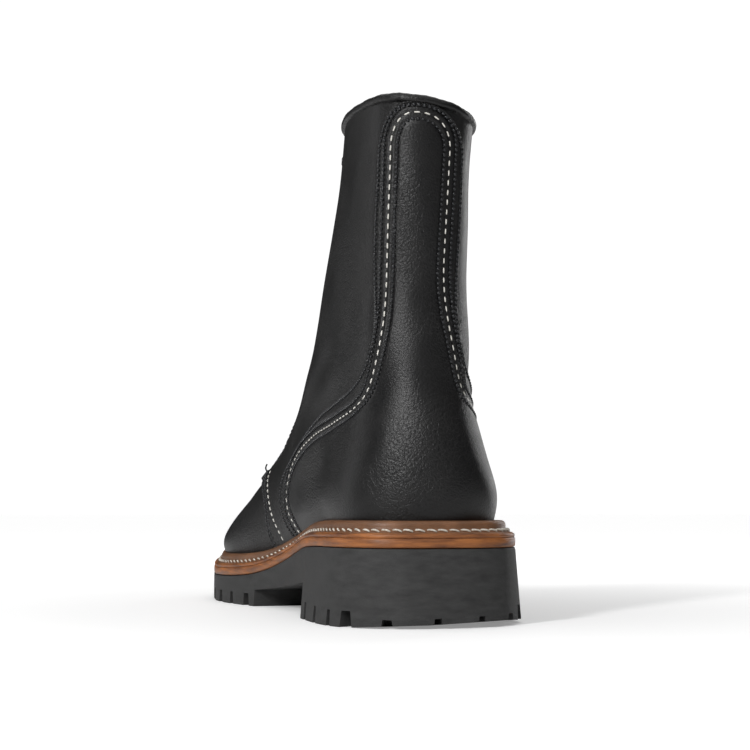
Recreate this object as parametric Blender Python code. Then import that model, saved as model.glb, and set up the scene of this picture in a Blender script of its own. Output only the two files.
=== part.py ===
"""Right boot of a pair of lace-up fire boots, eight inches tall.

Built in millimetres around a last-shaped skin, then written out in metres.
x runs to the medial side, s runs forward from the back of the heel, z runs up.
"""
import math

import bmesh
import bpy
import numpy as np
from mathutils import Matrix, Vector

# Driving dimensions, millimetres.
SOLE_LENGTH = 307.0
HEEL_BREAST = 79.0
FOREPART_START = 172.0
HEEL_FLARE = 2.5
MIDSOLE_T = 4.2
WELT_T = 2.2
LEATHER_T = 2.0
LINING_T = 1.6
GAP = 0.3
COLLAR_HEIGHT = 232.0
COLLAR_ROLL = 0.2
EYELETS = [0.565, 0.607, 0.649, 0.690, 0.733]
HOOKS = [0.785, 0.840, 0.895, 0.950]
FACING_MARGIN = 0.042

# Sole outline, medial side then lateral side, heel to toe.
OUTLINE = [
    (0, 0), (26, 5), (40, 22), (44, 48), (43, 85), (41.5, 120), (47, 160), (57, 200), (60, 232),
    (54, 268), (37, 295), (12, 307), (-14, 303), (-36, 283), (-48, 250), (-53, 205), (-52, 165),
    (-47, 120), (-44, 85), (-44, 48), (-40, 22), (-26, 5),
]
# Height of the rubber top face along the boot.
TOP_S = [0, 60, 90, 130, 170, 215, 270, 307]
TOP_Z = [33.5, 33.5, 32, 25.5, 17.5, 14.5, 16.5, 23.5]

# Rings of the skin: height at back and front, s at back and front, then half widths of the
# medial and the lateral side at the same five stations between back and front.
STATIONS = [0.07, 0.25, 0.5, 0.75, 0.93]
RINGS = [
    (41, 31, 12, 299, (30.5, 30.5, 34, 52, 39.5), (30, 32, 40.5, 43.5, 28.5)),
    (56, 40, 9, 301, (31, 34.5, 38, 54, 41), (32.2, 34.5, 42, 45, 32)),
    (70, 57, 9, 289, (29, 33.5, 36.5, 44.5, 28.5), (28.5, 33, 40, 42.5, 26.5)),
    (86, 73, 11, 257, (25.5, 32, 34.5, 34, 21), (23.5, 31, 37, 37, 21)),
    (103, 88, 14, 226, (23, 30, 32.5, 30, 18.5), (19.5, 28, 34, 31.5, 17.5)),
    (122, 108, 15, 181, (21.5, 29.5, 32.5, 30.5, 17.5), (18.5, 28, 33, 30, 16)),
    (147, 138, 16, 145, (20, 28, 31.5, 30, 18), (16, 26, 30, 28, 15)),
    (175, 173, 14, 124, (19, 27, 30, 28, 16), (14.5, 24.5, 28.5, 26.5, 14.5)),
    (205, 205, 11, 112, (18, 25.5, 28, 25, 14), (14, 24, 28, 27, 15)),
    (COLLAR_HEIGHT, COLLAR_HEIGHT + 3, 8, 105, (18, 25, 27, 23.5, 13.5), (14.5, 24.5, 28, 27, 16)),
]
HALF_KEYS = np.array([0, 0.16, 0.34, 0.52, 0.70, 0.87, 1.0]) * 0.5
RING_KEYS = np.r_[HALF_KEYS[:-1], 1 - HALF_KEYS[::-1][:-1]]

# Pattern lines on the skin as (height fraction, fraction of the way round from the back).
BACKSTAY_LINE = [(0, 0.236), (0.1, 0.25), (0.2, 0.266), (0.3, 0.268), (0.36, 0.25), (0.42, 0.221),
                 (0.459, 0.17), (0.475, 0.12), (0.506, 0.094), (0.556, 0.082), (0.6, 0.075),
                 (0.657, 0.08), (0.8, 0.097), (1, 0.098)]
QUARTER_LINE = [(0, 0.278), (0.1, 0.284), (0.155, 0.29), (0.2, 0.301), (0.25, 0.325),
                (0.29, 0.352), (0.36, 0.372), (0.44, 0.41), (0.5, 0.435), (0.56, 0.455),
                (0.65, 0.463), (1, 0.463)]
TWIST_LINE = [(0, 0), (0.2, 0.005), (0.45, 0.022), (0.7, 0.026), (1, 0.026)]
ROWS = [0, 0.045, 0.1, 0.155, 0.21, 0.26, 0.31, 0.36, 0.41, 0.455, 0.5, 0.56, 0.63, 0.71,
        0.79, 0.87, 0.93, 0.98]
COLS_A, COLS_B, COLS_C = 6, 4, 8

COLLECTION = "fire_boot"
COLORS = {
    "leather": (0.012, 0.012, 0.013), "lining": (0.36, 0.25, 0.16), "rubber": (0.016, 0.016, 0.017),
    "tan": (0.42, 0.22, 0.09), "thread": (0.75, 0.72, 0.66), "metal": (0.05, 0.05, 0.05),
    "steel": (0.5, 0.5, 0.52), "cork": (0.35, 0.22, 0.12), "board": (0.45, 0.36, 0.26),
}


def natural_cubic(keys, values, query):
    """Natural cubic spline through keys; values may carry extra axes."""
    keys = np.asarray(keys, float)
    values = np.asarray(values, float)
    step = np.diff(keys)
    count = len(keys)
    matrix = np.eye(count)
    right = np.zeros_like(values)
    for i in range(1, count - 1):
        matrix[i, i - 1:i + 2] = (step[i - 1], 2 * (step[i - 1] + step[i]), step[i])
        right[i] = 6 * ((values[i + 1] - values[i]) / step[i]
                        - (values[i] - values[i - 1]) / step[i - 1])
    bend = np.linalg.solve(matrix, right.reshape(count, -1)).reshape(values.shape)
    return cubic_span(keys, values, bend, query)


def closed_cubic(keys, values, query):
    """Periodic cubic spline of period one."""
    keys = np.asarray(keys, float)
    values = np.asarray(values, float)
    count = len(keys)
    step = np.diff(np.r_[keys, keys[0] + 1])
    matrix = np.zeros((count, count))
    right = np.zeros_like(values)
    for i in range(count):
        after = (i + 1) % count
        matrix[i, i - 1] += step[i - 1]
        matrix[i, i] += 2 * (step[i - 1] + step[i])
        matrix[i, after] += step[i]
        right[i] = 6 * ((values[after] - values[i]) / step[i]
                        - (values[i] - values[i - 1]) / step[i - 1])
    bend = np.linalg.solve(matrix, right.reshape(count, -1)).reshape(values.shape)
    keys = np.r_[keys, keys[0] + 1]
    values = np.concatenate([values, values[:1]])
    bend = np.concatenate([bend, bend[:1]])
    return cubic_span(keys, values, bend, np.asarray(query, float) % 1.0)


def cubic_span(keys, values, bend, query):
    query = np.atleast_1d(np.asarray(query, float))
    k = np.clip(np.searchsorted(keys, query, side="right") - 1, 0, len(keys) - 2)
    extra = (slice(None),) + (None,) * (values.ndim - 1)
    span = (keys[k + 1] - keys[k])[extra]
    a = (query - keys[k])[extra]
    b = span - a
    curve = bend[k] * b ** 3 / (6 * span) + bend[k + 1] * a ** 3 / (6 * span)
    left = values[k] / span - bend[k] * span / 6
    right = values[k + 1] / span - bend[k + 1] * span / 6
    return curve + left * b + right * a


def rubber_top(s):
    s = np.clip(s, 0, SOLE_LENGTH)
    return natural_cubic(TOP_S, TOP_Z, np.ravel(s)).reshape(np.shape(s))


def line(points, v):
    keys, values = zip(*points)
    return np.interp(v, keys, values)


def ring_points(ring):
    z_back, z_front, s_back, s_front, medial, lateral = ring
    t = np.array([0] + STATIONS + [1] + STATIONS[::-1])
    x = np.array([(medial[0] - lateral[0]) / 2, *medial, (medial[4] - lateral[4]) / 2,
                  *[-w for w in lateral[::-1]]])
    s = s_back + (s_front - s_back) * t
    seat = rubber_top(s) + MIDSOLE_T + WELT_T + 8 * GAP
    straight = seat[0] + (seat[6] - seat[0]) * t
    follow = min(max((88 - z_back) / 47, 0), 1)
    z = z_back + (z_front - z_back) * t + follow * (seat - straight)
    z = z + min(max((z_back - 205) / 27, 0), 1) * COLLAR_ROLL * x
    if z_back < 45:
        z = seat
    return np.stack([x, s, z], axis=1)


RING_SHAPES = np.array([ring_points(ring) for ring in RINGS])


def skin(u, v):
    """Point on the boot skin; u goes round from the back, v from the welt to the collar."""
    u = np.asarray(u, float)
    v = np.asarray(v, float)
    around = np.stack([closed_cubic(RING_KEYS, shape, u.ravel()) for shape in RING_SHAPES])
    levels = np.linspace(0, 1, len(RINGS))
    result = np.empty((u.size, 3))
    for value in np.unique(v):
        pick = np.flatnonzero(v.ravel() == value)
        result[pick] = natural_cubic(levels, around[:, pick], value)[0]
    return result.reshape(u.shape + (3,))


def skin_normal(u, v):
    e = 0.004
    du = skin(u + e, v) - skin(u - e, v)
    dv = skin(u, v + e) - skin(u, v - e)
    normal = np.cross(dv, du)
    return -normal / np.linalg.norm(normal, axis=-1, keepdims=True)


def make_lattice():
    """Columns of u for every row, following the pattern lines on both sides."""
    v = np.array(ROWS)
    twist = line(TWIST_LINE, v)
    stay = line(BACKSTAY_LINE, v)
    quarter = line(QUARTER_LINE, v)
    a = np.linspace(0, 1, COLS_A + 1)[None, :] * stay[:, None]
    b = stay[:, None] + np.linspace(0, 1, COLS_B + 1)[None, 1:] * (quarter - stay)[:, None]
    c = quarter[:, None] + np.linspace(0, 1, COLS_C + 1)[None, 1:] * (0.5 - quarter)[:, None]
    half = np.hstack([a, b, c])
    fade = 1 - 2 * half
    medial = half + twist[:, None] * fade
    lateral = -half + twist[:, None] * fade
    return np.hstack([medial, lateral[:, -2:0:-1] + 1])


LATTICE = make_lattice()
ROUND = LATTICE.shape[1]
LATTICE_V = np.array(ROWS)[:, None] + 0 * LATTICE
LATTICE_P = skin(LATTICE, LATTICE_V)
LATTICE_N = skin_normal(LATTICE, LATTICE_V)
LATTICE_N[0, :, 2] = 0
LATTICE_N[0] /= np.linalg.norm(LATTICE_N[0], axis=1, keepdims=True)
EDGE_A = COLS_A
EDGE_B = COLS_A + COLS_B


def to_world(points):
    points = np.asarray(points, float)
    return np.stack([points[..., 0], -points[..., 1], points[..., 2]], axis=-1) / 1000


def new_object(name, verts, faces, color, smooth=True):
    mesh = bpy.data.meshes.new(name)
    mesh.from_pydata([tuple(p) for p in to_world(verts)], [], faces)
    work = bmesh.new()
    work.from_mesh(mesh)
    bmesh.ops.recalc_face_normals(work, faces=work.faces)
    work.to_mesh(mesh)
    work.free()
    if smooth:
        mesh.shade_smooth()
    ob = bpy.data.objects.new(name, mesh)
    BOOT.objects.link(ob)
    material = bpy.data.materials.new(name + "_material")
    material.use_nodes = True
    shader = material.node_tree.nodes["Principled BSDF"]
    shader.inputs["Base Color"].default_value = (*COLORS[color], 1)
    shader.inputs["Roughness"].default_value = 0.3 if color in ("metal", "steel") else 0.7
    shader.inputs["Metallic"].default_value = 1.0 if color in ("metal", "steel") else 0.0
    mesh.materials.append(material)
    return ob


def shell(name, cells, outer, inner, color, trim=()):
    """Closed solid between two offsets of the skin over a set of lattice cells.

    Each trim is a border column and the step towards the piece's own side.
    """
    outer = np.broadcast_to(outer, LATTICE.shape)
    inner = np.broadcast_to(inner, LATTICE.shape)
    index = {}
    verts = []

    def vert(row, col, side):
        key = (row, col % ROUND, side)
        if key not in index:
            at = (row, col % ROUND)
            point = LATTICE_P[at] + LATTICE_N[at] * (outer, inner)[side][at]
            for border, step in trim:
                if col % ROUND == border % ROUND:
                    inward = LATTICE_P[row, (col + step) % ROUND] - LATTICE_P[at]
                    point = point + inward / np.linalg.norm(inward) * 0.25
            index[key] = len(verts)
            verts.append(point)
        return index[key]

    cells = {(row, col % ROUND) for row, col in cells}
    faces = []
    for row, col in sorted(cells):
        corners = [(row, col), (row, col + 1), (row + 1, col + 1), (row + 1, col)]
        for a, b, c in ((0, 1, 2), (0, 2, 3)):
            faces.append([vert(*corners[a], 0), vert(*corners[b], 0), vert(*corners[c], 0)])
            faces.append([vert(*corners[c], 1), vert(*corners[b], 1), vert(*corners[a], 1)])
        beside = [(row - 1, col), (row, (col + 1) % ROUND), (row + 1, col), (row, (col - 1) % ROUND)]
        for k, other in enumerate(beside):
            if other not in cells:
                first = corners[k]
                second = corners[(k + 1) % 4]
                faces.append([vert(*first, 1), vert(*second, 1), vert(*second, 0), vert(*first, 0)])
    return new_object(name, verts, faces, color)


def block(rows, cols):
    return {(row, col) for row in range(*rows) for col in range(*cols)}


def outline_loop(count):
    """Sole outline as points and outward normals, evenly spaced by length."""
    points = np.array(OUTLINE, float)
    chord = np.linalg.norm(np.roll(points, -1, axis=0) - points, axis=1) ** 0.5
    keys = np.r_[0, np.cumsum(chord)[:-1]] / chord.sum()
    fine = closed_cubic(keys, points, np.linspace(0, 1, 1200, endpoint=False))
    length = np.r_[0, np.cumsum(np.linalg.norm(np.roll(fine, -1, axis=0) - fine, axis=1))]
    even = np.linspace(0, length[-1], count, endpoint=False)
    where = np.interp(even, length, np.arange(1201)) / 1200
    points = closed_cubic(keys, points, where)
    ahead = np.roll(points, -1, axis=0) - np.roll(points, 1, axis=0)
    normal = np.stack([ahead[:, 1], -ahead[:, 0]], axis=1)
    return points, normal / np.linalg.norm(normal, axis=1, keepdims=True)


def stations(inset, start, stop, count):
    """Medial and lateral edge of the inset outline at shared s values."""
    points, normal = outline_loop(360)
    ring = points - normal * inset
    s = ring[:, 1]
    tip = int(np.argmax(s))
    tail = int(np.argmin(s))
    ring = np.roll(ring, -tail, axis=0)
    tip = (tip - tail) % 360
    low = max(start, ring[0, 1] + 0.02)
    high = min(stop, ring[tip, 1] - 0.02)
    at = low + (high - low) * (0.5 - 0.5 * np.cos(np.linspace(0, np.pi, count)))
    medial = np.interp(at, ring[:tip + 1, 1], ring[:tip + 1, 0])
    lateral = np.interp(at, ring[tip:, 1][::-1], ring[tip:, 0][::-1])
    return at, medial, lateral


def slab(name, inset, z_low, z_high, color, start=-99, stop=999, count=34, waist=0):
    """Flat layer of the bottom; its faces follow the sole line along the boot."""
    s, medial, lateral = stations(inset, start, stop, count)
    if waist:
        medial = np.clip(medial, -999, waist)
        lateral = np.clip(lateral, -waist, 999)
    verts = []
    for height in (z_low, z_high):
        for x in (medial, lateral):
            verts += list(np.stack([x, s, height(s)], axis=1))
    faces = []
    for i in range(count - 1):
        faces.append([i, i + 1, count + i + 1, count + i])
        faces.append([2 * count + i, 3 * count + i, 3 * count + i + 1, 2 * count + i + 1])
        faces.append([i, 2 * count + i, 2 * count + i + 1, i + 1])
        faces.append([count + i, count + i + 1, 3 * count + i + 1, 3 * count + i])
    faces.append([0, count, 3 * count, 2 * count])
    last = count - 1
    faces.append([last, 2 * count + last, 3 * count + last, count + last])
    ob = new_object(name, verts, faces, color, smooth=False)
    return ob


def outline_sweep(name, section, base, color, count=72):
    """Closed ring: section of (inset, height) swept round the sole outline."""
    points, normal = outline_loop(count)
    verts = []
    for inset, height in section:
        ring = points - normal * inset
        verts += list(np.column_stack([ring, base(ring[:, 1]) + height]))
    faces = []
    sides = len(section)
    for k in range(sides):
        for i in range(count):
            j = (i + 1) % count
            after = (k + 1) % sides
            faces.append([k * count + i, k * count + j, after * count + j, after * count + i])
    return new_object(name, verts, faces, color)


def tube(name, path, frame, section, color, closed=False):
    """Sweep a closed section of (across, up) along a path with given across and up axes."""
    across, up = frame
    verts = []
    for point, a, b in zip(path, across, up):
        verts += [point + a * p + b * q for p, q in section]
    sides = len(section)
    faces = []
    for i in range(len(path) - (0 if closed else 1)):
        j = (i + 1) % len(path)
        for k in range(sides):
            m = (k + 1) % sides
            faces.append([i * sides + k, i * sides + m, j * sides + m, j * sides + k])
    if not closed:
        faces.append(list(range(sides)))
        faces.append(list(range((len(path) - 1) * sides, len(path) * sides)))
    return new_object(name, verts, faces, color)


def local_frame(u, v):
    """Origin, direction round the boot, direction up the boot and normal at a skin point."""
    u = np.array([u])
    v = np.array([v])
    origin = skin(u, v)[0]
    normal = skin_normal(u, v)[0]
    up = (skin(u, v + 0.01) - skin(u, v - 0.01))[0]
    up -= normal * up.dot(normal)
    up /= np.linalg.norm(up)
    return origin, np.cross(up, normal), up, normal


def cutter(name, verts, faces):
    mesh = bpy.data.meshes.new(name)
    mesh.from_pydata([tuple(p) for p in to_world(verts)], [], faces)
    work = bmesh.new()
    work.from_mesh(mesh)
    bmesh.ops.recalc_face_normals(work, faces=work.faces)
    work.to_mesh(mesh)
    work.free()
    ob = bpy.data.objects.new(name, mesh)
    ob.display_type = "WIRE"
    ob.hide_render = True
    CUTTERS.objects.link(ob)
    return ob


def prism(name, low, high):
    """Cutter between two matching polygons."""
    count = len(low)
    faces = [list(range(count)), list(range(count, 2 * count))]
    faces += [[i, (i + 1) % count, count + (i + 1) % count, count + i] for i in range(count)]
    return cutter(name, list(low) + list(high), faces)


def subtract(target, tools):
    group = bpy.data.collections.new(target.name + "_cuts")
    CUTTERS.children.link(group)
    for tool in tools:
        group.objects.link(tool)
    cut = target.modifiers.new("cuts", "BOOLEAN")
    cut.operation = "DIFFERENCE"
    cut.solver = "EXACT"
    cut.operand_type = "COLLECTION"
    cut.collection = group


def clear_scene():
    for ob in list(bpy.data.objects):
        bpy.data.objects.remove(ob, do_unlink=True)
    for group in list(bpy.data.collections):
        bpy.data.collections.remove(group)


clear_scene()
BOOT = bpy.data.collections.new(COLLECTION)
CUTTERS = bpy.data.collections.new("cutters")
bpy.context.scene.collection.children.link(BOOT)
bpy.context.scene.collection.children.link(CUTTERS)


# Bottom of the boot.
def midsole_low(s):
    return rubber_top(s) + GAP


def midsole_high(s):
    return rubber_top(s) + GAP + MIDSOLE_T


def tread_low(s):
    """Height of the tread surface: heel, raised waist, forepart and toe spring."""
    heel = np.clip((16 - s) * 0.1, 0, 3)
    waist = np.interp(s, [HEEL_BREAST, FOREPART_START], [17, 8.5])
    front = np.interp(s, [FOREPART_START, 235, 270, SOLE_LENGTH], [0, 0, 3, 11])
    return np.where(s < HEEL_BREAST, heel, np.where(s < FOREPART_START, waist, front))


def build_outsole():
    breast = HEEL_BREAST
    at, medial, lateral = stations(0, -99, 999, 40)
    keep = (np.abs(at - breast) > 2) & (np.abs(at - FOREPART_START) > 2)
    steps = [breast - 0.6, breast + 0.6, FOREPART_START - 0.6, FOREPART_START + 0.6]
    at = np.sort(np.r_[at[keep], steps])
    full, full_m, full_l = stations(0, -99, 999, 200)
    medial = np.interp(at, full, full_m)
    lateral = np.interp(at, full, full_l)
    low = tread_low(at)
    spread = HEEL_FLARE * np.clip((at - 4) / 20, 0, 1) * (at < breast)
    verts = []
    for x in (medial + spread, lateral - spread):
        verts += list(np.stack([x, at, low], axis=1))
    for x in (medial, lateral):
        verts += list(np.stack([x, at, rubber_top(at)], axis=1))
    count = len(at)
    verts[0][1] -= HEEL_FLARE
    verts[count][1] -= HEEL_FLARE
    faces = []
    for i in range(count - 1):
        faces.append([i, i + 1, count + i + 1, count + i])
        faces.append([2 * count + i, 3 * count + i, 3 * count + i + 1, 2 * count + i + 1])
        faces.append([i, 2 * count + i, 2 * count + i + 1, i + 1])
        faces.append([count + i, count + i + 1, 3 * count + i + 1, 3 * count + i])
    faces.append([0, count, 3 * count, 2 * count])
    last = count - 1
    faces.append([last, 2 * count + last, 3 * count + last, count + last])
    return new_object("outsole", verts, faces, "rubber", smooth=False)


# Heel cuts: distance round from the heel's back (medial +), width low and high, depth, reach.
HEEL_CUTS = [
    (4, 5.2, 3, 2.3, 9), (25, 6.5, 4, 2.5, 9), (44.8, 7.6, 5, 7, 12), (57, 4.2, 2.6, 7, 10),
    (75, 5.2, 3.2, 7.5, 10), (95, 5.5, 3.4, 8, 10), (-16, 5.2, 3, 2.3, 9), (-34, 6.5, 4, 3, 9),
    (-46, 7.6, 5, 7, 12), (-60, 4.2, 2.6, 7, 10), (-77, 5.2, 3.2, 7.5, 10), (-96, 5.5, 3.4, 8, 10),
]
FOREPART_FIRST = 181.5
FOREPART_STEP = 18.5
FOREPART_CUTS = 6


def edge_cuts():
    """Lug cuts open at the edge of the tread."""
    loop, normal = outline_loop(720)
    length = np.linalg.norm(np.roll(loop, -1, axis=0) - loop, axis=1).sum()
    cuts = []
    for arc, low_w, top_w, depth, reach in HEEL_CUTS:
        cuts.append((round(arc / length * 720) % 720, low_w, top_w, depth, reach))
    for side in (1, -1):
        for number in range(FOREPART_CUTS):
            s = FOREPART_FIRST + number * FOREPART_STEP
            near = np.where(loop[:, 0] * side > 3, np.abs(loop[:, 1] - s), 999)
            shape = (5.0, 3.4, 6.5, 11) if number % 2 else (7.5, 5.5, 6.5, 16)
            cuts.append((int(np.argmin(near)), *shape))
    tools = []
    for number, (i, low_w, top_w, depth, reach) in enumerate(cuts):
        out = normal[i]
        along = np.array([-out[1], out[0]])
        roof = float(tread_low(loop[i, 1])) + depth
        polygons = []
        for z, width in ((-2, low_w), (roof, top_w)):
            corners = [(6, -1), (6, 1), (-reach, 1), (-reach, -1)]
            polygons.append([(*(loop[i] + out * p + along * q * width / 2), z) for p, q in corners])
        tools.append(prism(f"edge_cut_{number:02d}", *polygons))
    return tools


def tread_cuts():
    """Channels between the inner lugs of heel and forepart."""
    tools = []
    boxes = [(-24, 26, 22, 26, 5), (-26, 27, 45, 49, 5), (-1, 3, 12, 90, 5),
             (-33, 38, 194, 198, 5), (-33, 40, 232, 236, 5), (-22, 30, 270, 274, 8)]
    for number, (x0, x1, s0, s1, height) in enumerate(boxes):
        low = [(x0, s0, -2), (x1, s0, -2), (x1, s1, -2), (x0, s1, -2)]
        high = [(x, s, height) for x, s, z in low]
        tools.append(prism(f"tread_cut_{number:02d}", low, high))
    return tools


outsole = build_outsole()
subtract(outsole, edge_cuts() + tread_cuts())
slab("midsole", 0.4, midsole_low, midsole_high, "tan", count=40)
WELT_SECTION = [(0.8, GAP), (0.8, 1.7), (2.4, 2.2), (3.9, 3.5), (4.0, 6.1), (5.2, 7.1), (6.4, 6.9),
                (6.6, GAP + WELT_T), (18.6, GAP + WELT_T), (18.6, GAP)]
outline_sweep("welt", WELT_SECTION, midsole_high, "tan")
THREAD_SECTION = [(1.9, 2.5), (1.9, 3.2), (2.9, 3.7), (2.9, 3.0)]
outline_sweep("welt_stitching", THREAD_SECTION, midsole_high, "thread")
slab("cork_filler", 19.6, lambda s: midsole_high(s) + 2.4, lambda s: midsole_high(s) + 4.0, "cork",
     start=92, count=22)
slab("shank", 19.4, lambda s: midsole_high(s) + 0.4, lambda s: midsole_high(s) + 2.0, "steel",
     start=40, stop=178, count=10, waist=8)
slab("insole", 22.8, lambda s: midsole_high(s) + 4.3, lambda s: midsole_high(s) + 7.3, "board",
     count=28)
slab("sock_liner", 24, lambda s: midsole_high(s) + 7.6, lambda s: midsole_high(s) + 8.8,
     "lining", stop=288, count=28)

# Layers of the upper.
V = LATTICE_V
COLUMN = np.minimum(np.arange(ROUND), ROUND - np.arange(ROUND))[None, :]
RISE = np.interp(V, [0.5, 0.56], [1, 0])
TOE = np.interp(COLUMN, [EDGE_B + 1, EDGE_B + 3], [0, 1]) * np.interp(V, [0.26, 0.36], [1, 0])
LINING_OUT = -LEATHER_T - GAP - RISE * (LEATHER_T + GAP) - TOE * 1.9
LINING_IN = LINING_OUT - LINING_T
TOP = len(ROWS) - 1
THROAT = ROWS.index(0.5)
LAST = ROUND

shell("counter_cover", block((0, TOP), (-EDGE_A, EDGE_A)), GAP + 1.8, GAP, "leather")
medial_quarter = shell("quarter_medial", block((0, TOP), (0, EDGE_B)), 0, -LEATHER_T, "leather",
                       trim=[(0, 1)])
lateral_quarter = shell("quarter_lateral", block((0, TOP), (-EDGE_B, 0)), 0, -LEATHER_T, "leather",
                        trim=[(0, -1)])
shell("heel_counter", block((0, 7), (-EDGE_A + 1, EDGE_A - 1)), -2.3, -4.3, "board")
shell("vamp", block((0, THROAT), (EDGE_B - 1, LAST - EDGE_B + 1)), -2.3, -4.3, "leather")
shell("toe_puff", block((0, 5), (EDGE_B + 3, LAST - EDGE_B - 3)), -4.6, -6.2, "board")
lining = shell("quarter_lining", block((0, TOP), (-EDGE_B, EDGE_B)), LINING_OUT, LINING_IN,
               "lining")
shell("vamp_lining", block((0, THROAT), (EDGE_B, LAST - EDGE_B)), LINING_OUT, LINING_IN,
      "lining", trim=[(EDGE_B, 2), (LAST - EDGE_B, -2)])


def build_tongue():
    """Curved tongue behind the lace opening; its origin is the hinge at its sewn base."""
    v = np.linspace(0.475, 1.01, 12)
    width = np.interp(v, [0.475, 0.55, 1.01], [0.08, 0.105, 0.13])
    u = 0.5 + np.linspace(-1, 1, 9)[None, :] * width[:, None]
    v = v[:, None] + 0 * u
    points = skin(u, v)
    normal = skin_normal(u, v)
    outer = np.interp(v, [0.52, 0.62], [-7.6, -6.2])
    verts = np.concatenate([(points + normal * outer[..., None]).reshape(-1, 3),
                            (points + normal * (outer - 2.4)[..., None]).reshape(-1, 3)])
    rows, cols = u.shape
    under = rows * cols
    faces = []
    for i in range(rows - 1):
        for j in range(cols - 1):
            quad = [i * cols + j, i * cols + j + 1, (i + 1) * cols + j + 1, (i + 1) * cols + j]
            faces.append(quad)
            faces.append([under + k for k in reversed(quad)])
    ring = [j for j in range(cols)]
    ring += [i * cols + cols - 1 for i in range(1, rows)]
    ring += [(rows - 1) * cols + j for j in range(cols - 2, -1, -1)]
    ring += [i * cols for i in range(rows - 2, 0, -1)]
    for k in range(len(ring)):
        a, b = ring[k], ring[(k + 1) % len(ring)]
        faces.append([a, under + a, under + b, b])
    hinge = (verts[cols // 2] + verts[under + cols // 2]) / 2
    tongue = new_object("tongue", verts - np.array([0, hinge[1], hinge[2]]), faces, "leather")
    tongue.location = to_world(np.array([0, hinge[1], hinge[2]])).tolist()
    return tongue


def build_binding():
    """Rolled binding on the collar, open at the lace gap."""
    edge = float(line(QUARTER_LINE, 1.0))
    twist = float(line(TWIST_LINE, 1.0))
    half = np.linspace(-edge, edge, 37)
    u = half + twist * (1 - 2 * np.abs(half))
    v = np.full_like(u, ROWS[-1])
    normal = skin_normal(u, v)
    normal[:, 2] = 0
    normal /= np.linalg.norm(normal, axis=1, keepdims=True)
    up = np.tile([0.0, 0.0, 1.0], (len(u), 1))
    section = [(-1 + 3.3 * math.cos(a), 2.9 + 2.4 * math.sin(a))
               for a in np.linspace(0, 2 * math.pi, 8, endpoint=False)]
    return tube("collar_binding", skin(u, v), (normal, up), section, "leather")


def facing_position(side, v):
    edge = float(line(QUARTER_LINE, v)) - FACING_MARGIN
    return side * edge + float(line(TWIST_LINE, v)) * (1 - 2 * edge)


def turned_ring(name, frame, profile, color, count=10):
    """Ring turned about the skin normal from a profile of (radius, height)."""
    origin, across, up, normal = frame
    verts = []
    for radius, height in profile:
        for k in range(count):
            a = 2 * math.pi * k / count
            verts.append(origin + across * radius * math.cos(a) + up * radius * math.sin(a)
                         + normal * height)
    faces = []
    for k in range(len(profile)):
        after = (k + 1) % len(profile)
        for i in range(count):
            j = (i + 1) % count
            faces.append([k * count + i, k * count + j, after * count + j, after * count + i])
    return new_object(name, verts, faces, color)


def hole(name, frame, radius, count=8):
    origin, across, up, normal = frame
    rims = []
    for height in (2, -7):
        rims.append([origin + across * radius * math.cos(2 * math.pi * k / count)
                     + up * radius * math.sin(2 * math.pi * k / count) + normal * height
                     for k in range(count)])
    return prism(name, *rims)


def hook(name, frame, side):
    """Open speed hook: bent strip with its clinched stem."""
    origin, across, up, normal = frame
    path = [(-4.5, 0.9), (2.0, 0.9), (4.4, 1.5), (5.4, 3.2), (4.4, 5.0), (2.0, 5.6), (-2.0, 4.9)]
    points = []
    ups = []
    for k, (a, h) in enumerate(path):
        before = path[max(k - 1, 0)]
        after = path[min(k + 1, len(path) - 1)]
        along = np.array([after[0] - before[0], after[1] - before[1]])
        along /= np.linalg.norm(along)
        points.append(origin + across * a * side + normal * h)
        ups.append(across * -along[1] * side + normal * along[0])
    section = [(-3.2, -0.4), (3.2, -0.4), (3.2, 0.4), (-3.2, 0.4)]
    strip = tube(name, points, ([up] * len(path), ups), section, "metal")
    stem_rims = []
    for height in (0.9, -4.6):
        stem_rims.append([origin + across * 1.5 * math.cos(math.pi * k / 4)
                          + up * 1.5 * math.sin(math.pi * k / 4) + normal * height
                          for k in range(8)])
    stem = prism(name + "_stem", *stem_rims)
    join = strip.modifiers.new("stem", "BOOLEAN")
    join.operation = "UNION"
    join.solver = "EXACT"
    join.object = stem
    return strip


build_tongue()
build_binding()
EYELET_PROFILE = [(2.3, 1.0), (4.0, 1.0), (4.5, 0.35), (2.8, 0.35), (2.8, -4.3), (2.3, -4.3)]
lining_holes = []
for label, side, quarter in (("medial", 1, medial_quarter), ("lateral", -1, lateral_quarter)):
    holes = []
    for number, v in enumerate(EYELETS, 1):
        place = local_frame(facing_position(side, v), v)
        turned_ring(f"eyelet_{label}_{number}", place, EYELET_PROFILE, "metal")
        holes.append(hole(f"eyelet_hole_{label}_{number}", place, 3.3))
    for number, v in enumerate(HOOKS, 1):
        place = local_frame(facing_position(side, v), v)
        hook(f"hook_{label}_{number}", place, side)
        holes.append(hole(f"hook_hole_{label}_{number}", place, 2.0))
    subtract(quarter, holes)
    lining_holes += holes
    corner = 0.29
    origin, across, up, normal = local_frame(side * (float(line(QUARTER_LINE, corner)) - 0.008), corner)
    rims = [[origin + across * x + up * y + normal * h for x, y in ((-1, -3), (1, -3), (1, 3), (-1, 3))]
            for h in (0.4, 1.3)]
    faces = [[0, 1, 2, 3], [7, 6, 5, 4]]
    faces += [[i, (i + 1) % 4, 4 + (i + 1) % 4, 4 + i] for i in range(4)]
    new_object(f"bar_tack_{label}", rims[0] + rims[1], faces, "leather")
subtract(lining, lining_holes)


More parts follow.
